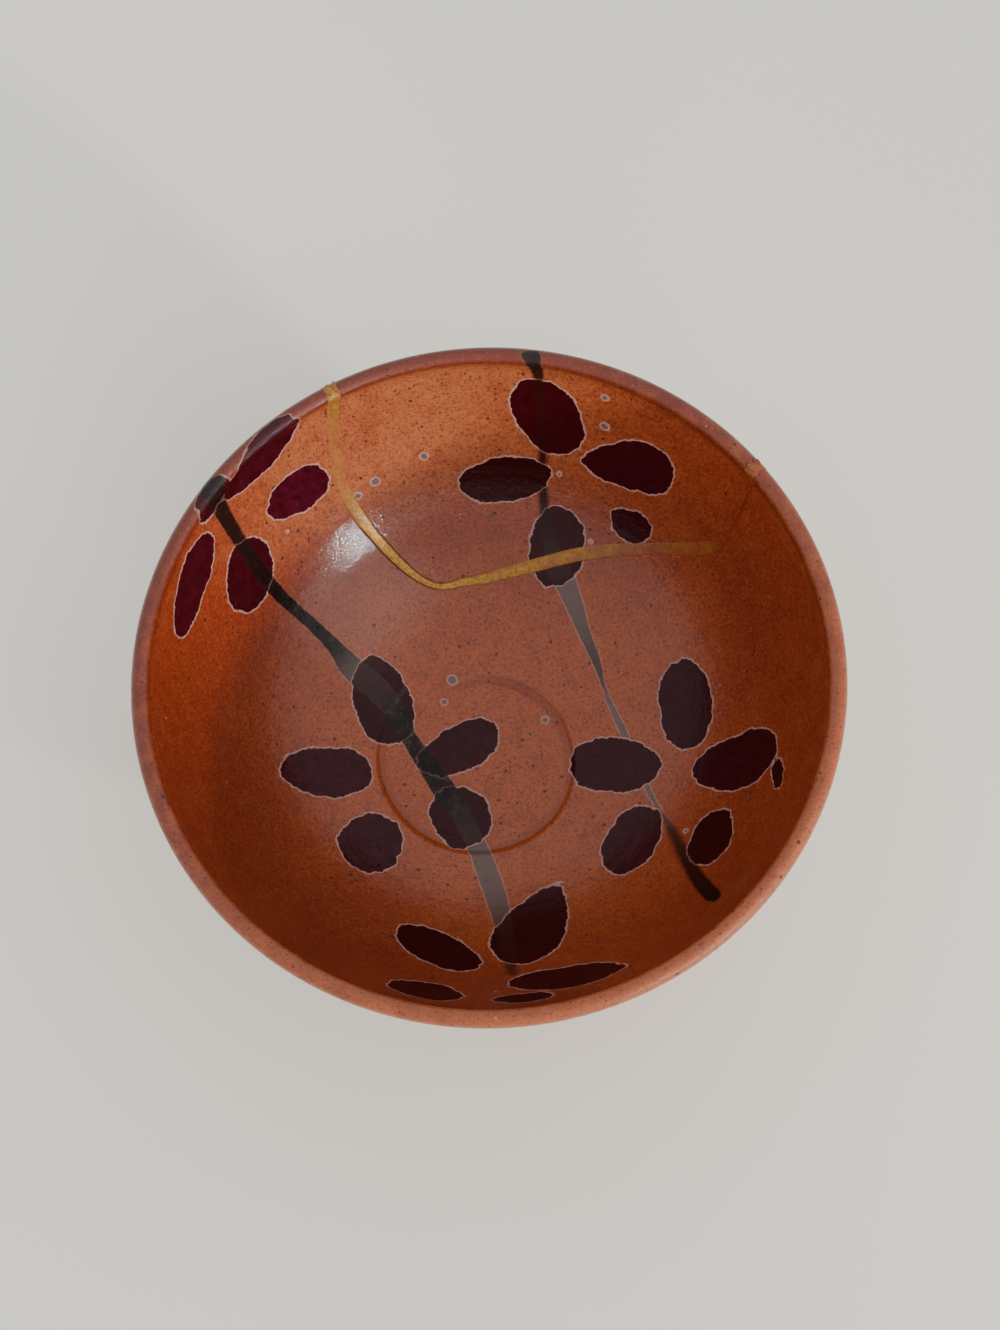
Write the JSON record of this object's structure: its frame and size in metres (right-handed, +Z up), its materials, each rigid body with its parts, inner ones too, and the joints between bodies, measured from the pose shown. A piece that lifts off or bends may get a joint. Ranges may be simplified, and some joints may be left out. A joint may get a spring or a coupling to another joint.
{
  "type": "kintsugi bowl",
  "caption": "Round footed ceramic bowl with a rolled lip, brushed leaf sprays inside and a broken rim piece joined again with a raised gold seam.",
  "frame": {"origin": "centre of the foot ring's underside, on the surface that the bowl stands on", "axes": "+Z up along the bowl's turning axis; the broken rim piece is on the +Y side, and -Y is the side nearest the viewer"},
  "size_m": [0.18, 0.18, 0.0781],
  "materials": {
    "rust_glaze": "gloss",
    "gold_lacquer": "satin"
  },
  "bodies": {
    "root": {"bowl_body": "rust_glaze", "rim_shard": "rust_glaze", "gold_seam": "gold_lacquer"}
  },
  "joints": []
}
